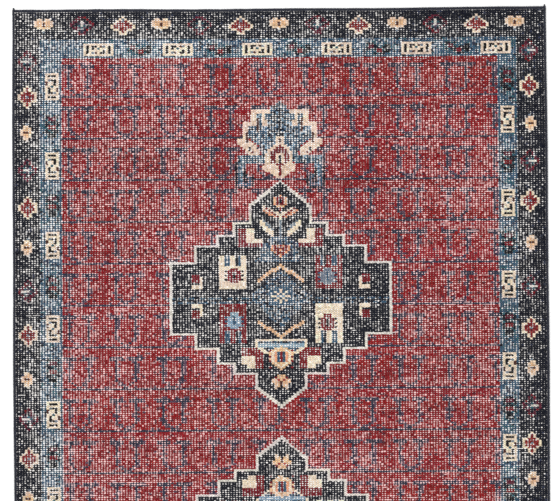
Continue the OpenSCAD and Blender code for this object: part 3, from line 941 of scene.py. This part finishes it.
def knot_backs():
    """The underside: a small double loop of each knot's own yarn, in rows between the weft."""
    gx, gy = np.meshgrid(np.linspace(-PILE_X, PILE_X, GX), np.linspace(-PILE_Y, PILE_Y, GY))
    z = BACK_Z + rng.normal(0, 0.00006, gx.shape)
    hem_zone = np.abs(gy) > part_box("hem_head")[0][1] - 0.002
    z = np.where(hem_zone, BACK_Z + 0.0002, z)
    co = laid(np.stack([gx.ravel(), gy.ravel(), z.ravel()], -1))
    fresh = lin * (1 + 0.5 * abrash + rng.normal(0, 0.08, (ROWS, COLS)))[..., None]
    rgb = np.clip(fresh * 0.85 + 0.15 * COTTON * 0.5, DARKEST, LIGHTEST).reshape(-1, 3)
    obj = make_mesh("knot_backs", co, [grid_faces(GY, GX, 0, True)], materials["knot_backs"], rgb, "FACE")
    place(obj, "cotton_ground", [])
    return obj


# ---- overcast edges, cords and corners ----------------------------------------------------------------

def ring_faces(rings, points):
    """Faces between the rings of a round form."""
    r, c = np.meshgrid(np.arange(rings - 1), np.arange(points), indexing="ij")
    beside = (c + 1) % points
    quads = [r * points + c, r * points + beside, (r + 1) * points + beside, (r + 1) * points + c]
    return np.stack(quads, -1).reshape(-1, 4)


# the same faces seen from the other side, each from the same first point
TURNED = [0, 3, 2, 1]


def tube(name, path, across, radii, turns, ridge, material, colours, rings=4):
    """Yarn wound round a path of two points: an oval tube whose skin rises and falls once a turn."""
    start, end = np.array(path[0], float), np.array(path[1], float)
    n, m = int(turns * rings) + 1, 12
    t = np.linspace(0, 1, n)[:, None]
    angle = np.linspace(0, 2 * math.pi, m, endpoint=False)[None, :]
    phase = 2 * math.pi * turns * t + angle
    wander = 1 + 0.05 * np.interp(t, np.linspace(0, 1, 60), rng.normal(0, 1, 60))
    swell = 1 - ridge * (0.5 - 0.5 * np.cos(phase)) ** 2
    a = np.cos(angle) * radii[0] * swell * wander
    b = np.sin(angle) * radii[1] * swell
    middle = start + (end - start) * t[..., None]
    co = middle + a[..., None] * np.array(across) + b[..., None] * np.array(UP)
    co = co.reshape(-1, 3)
    quads = ring_faces(n, m)
    centre = len(co)
    co = np.concatenate([co, [co[:m].mean(0)], [co[-m:].mean(0)]])
    k = np.arange(m)
    last = (n - 1) * m
    caps = np.concatenate([np.stack([np.full(m, centre), (k + 1) % m, k], -1),
                           np.stack([np.full(m, centre + 1), last + k, last + (k + 1) % m], -1)])
    axis = np.cross(across, UP)
    if np.dot(axis, end - start) < 0:
        quads, caps = quads[:, ::-1], caps[:, ::-1]
    shade = np.repeat(1 + rng.normal(0, 0.12, int(turns) + 2), rings)[:n]
    # painted shade: the colour darkens where the skin dips between two turns of yarn
    groove_shade = 0.75 + 0.25 * swell
    rgb = colours * (shade[:, None, None] * groove_shade[..., None])
    rgb = np.concatenate([rgb.reshape(-1, 3), [colours * 0.8, colours * 0.8]])
    return make_mesh(name, laid(co), [quads, caps], material, np.clip(rgb, 0, LIGHTEST))


def edges():
    """Overcasting and cords of the sides, then the bound ends with their hems, stitches and corners."""
    pitch, cord_radius, cord_turns = 0.0046, 0.0010, 500
    half = (RUG_X - PILE_X) / 2
    z = EDGE_TOP / 2
    made = []
    for side, word in ((-1, "left"), (1, "right")):
        x = side * (RUG_X - half - 0.0004)
        path = [(x, -RUG_Y, z), (x, RUG_Y, z)]
        wrap = tube("selvedge_wrap_" + word, path, (side, 0, 0), (half + 0.0004, z - 0.0001),
                    2 * RUG_Y / pitch, 0.2, materials["overcast_navy"], NAVY_RIM)
        place(wrap, "navy_wool", ["selvedge_wrap_%s_%s" % (word, h) for h in ("head", "foot")])
        made.append(wrap)
        cord_nodes = ["selvedge_cords_%s_%s" % (word, h) for h in ("head", "foot")]
        for k, offset in enumerate((0.0022, -0.0012)):
            path = [(x + side * offset, -RUG_Y + 0.003, z), (x + side * offset, RUG_Y - 0.003, z)]
            cord = tube("selvedge_cord_%s_%d" % (word, k + 1), path, (side, 0, 0),
                        (cord_radius, cord_radius), cord_turns, 0.12, materials["cotton_cord"], COTTON, 1)
            place(cord, "cotton_cord", cord_nodes if k == 0 else [])
            made.append(cord)
    for s, word in ((1, "head"), (-1, "foot")):
        depth = (RUG_Y - PILE_Y) / 2
        y = s * (RUG_Y - depth - 0.0004)
        wrap = tube("end_binding_%s_wool" % word, [(-PILE_X, y, z), (PILE_X, y, z)], (0, s, 0),
                    (depth + 0.0004, z - 0.0001), 2 * PILE_X / pitch, 0.2,
                    materials["overcast_navy"], NAVY_RIM)
        place(wrap, "navy_wool", ["end_binding_" + word])
        made.append(wrap)
        low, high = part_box("hem_" + word)
        inner = min(abs(low[1]), abs(high[1]))
        y0, y1 = sorted((s * inner, s * PILE_Y))
        hem = slab("hem_%s_cloth" % word, -PILE_X, PILE_X, y0, y1, 0.00015, 0.0006, 97, 5,
                   materials["cotton_ground"], LINEN)
        place(hem, "cotton_ground", ["hem_" + word])
        made.append(hem)
        made.append(stitches(word, s, inner))
        made.append(corner_nubs(word, s, z))
    return made


def stitches(word, s, inner):
    """Running stitches of sewing thread that hold the turned-under end."""
    parts, faces, first = [], [], 0
    n, m = 7, 8
    length, pitch = 0.012, 0.020
    for x in np.arange(-PILE_X + 0.010, PILE_X - length, pitch):
        t = np.linspace(0, 1, n)[:, None]
        angle = np.linspace(0, 2 * math.pi, m, endpoint=False)[None, :]
        r = 0.00035 * np.sqrt(np.clip(1 - (2 * t - 1) ** 6, 0.04, 1))
        co = np.stack(np.broadcast_arrays(
            x + length * t,
            s * (inner + 0.0044) + r * np.cos(angle) + 0.0003 * np.sin(9 * t),
            0.00038 + r * np.sin(angle)), -1).reshape(-1, 3)
        faces.append(ring_faces(n, m)[:, TURNED] + first)
        parts.append(co)
        first += len(co)
    obj = make_mesh("hem_stitches_%s_thread" % word, laid(np.concatenate(parts)), [np.concatenate(faces)],
                    materials["sewing_thread"], np.tile(THREAD, (first, 1)))
    place(obj, "sewing_thread", ["hem_stitches_" + word])
    return obj


def corner_nubs(word, s, z):
    """The knotted ends of the selvedge cords, bound in the same wool."""
    parts, faces, first = [], [], 0
    low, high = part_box("corner_knots_" + word)
    reach = max(abs(low[1]), abs(high[1]))
    for side in (-1, 1):
        x = side * (RUG_X - (RUG_X - PILE_X) / 2)
        length = reach - RUG_Y + 0.003
        n, m = 13, 16
        t = np.linspace(0, 1, n)[:, None]
        angle = np.linspace(0, 2 * math.pi, m, endpoint=False)[None, :]
        neck = 0.0013 + 0.0012 * np.sin(math.pi * np.clip(t * 1.35 - 0.35, 0, 1)) ** 0.7
        r = neck * (1 + 0.09 * np.cos(5 * angle + 9 * t)) * np.sqrt(np.clip(1.02 - t ** 8, 0.03, 1))
        co = np.stack(np.broadcast_arrays(
            x + r * np.cos(angle),
            s * (RUG_Y - 0.003 + length * t),
            z + r * np.sin(angle)), -1).reshape(-1, 3)
        quads = ring_faces(n, m)[:, TURNED]
        faces.append((quads if s < 0 else quads[:, ::-1]) + first)
        parts.append(co)
        first += len(co)
    obj = make_mesh("corner_knots_%s_wool" % word, laid(np.concatenate(parts)), [np.concatenate(faces)],
                    materials["overcast_navy"], np.tile(NAVY_RIM * 0.7, (first, 1)))
    place(obj, "navy_wool", ["corner_knots_" + word])
    return obj


pile_pieces = pile()
backs = knot_backs()
edge_pieces = edges()
ground = slab("cotton_ground", -PILE_X - 0.002, PILE_X + 0.002, -PILE_Y - 0.002, PILE_Y + 0.002,
              COTTON_BOTTOM, COTTON_TOP, 97, 197, materials["cotton_ground"])
place(ground, "cotton_ground", ["foundation_head", "foundation_foot"])

# ---- floor --------------------------------------------------------------------------------------------

floor = bpy.data.meshes.new("floor")
FLOOR_HALF, FLOOR_Z = 14, -0.0004
corners = ((-1, -1), (1, -1), (1, 1), (-1, 1))
floor.from_pydata([(x * FLOOR_HALF, y * FLOOR_HALF, FLOOR_Z) for x, y in corners], [], [(0, 1, 2, 3)])
floor.materials.append(floor_material.material)
floor_object = bpy.data.objects.new("floor", floor)
bpy.context.scene.collection.objects.link(floor_object)
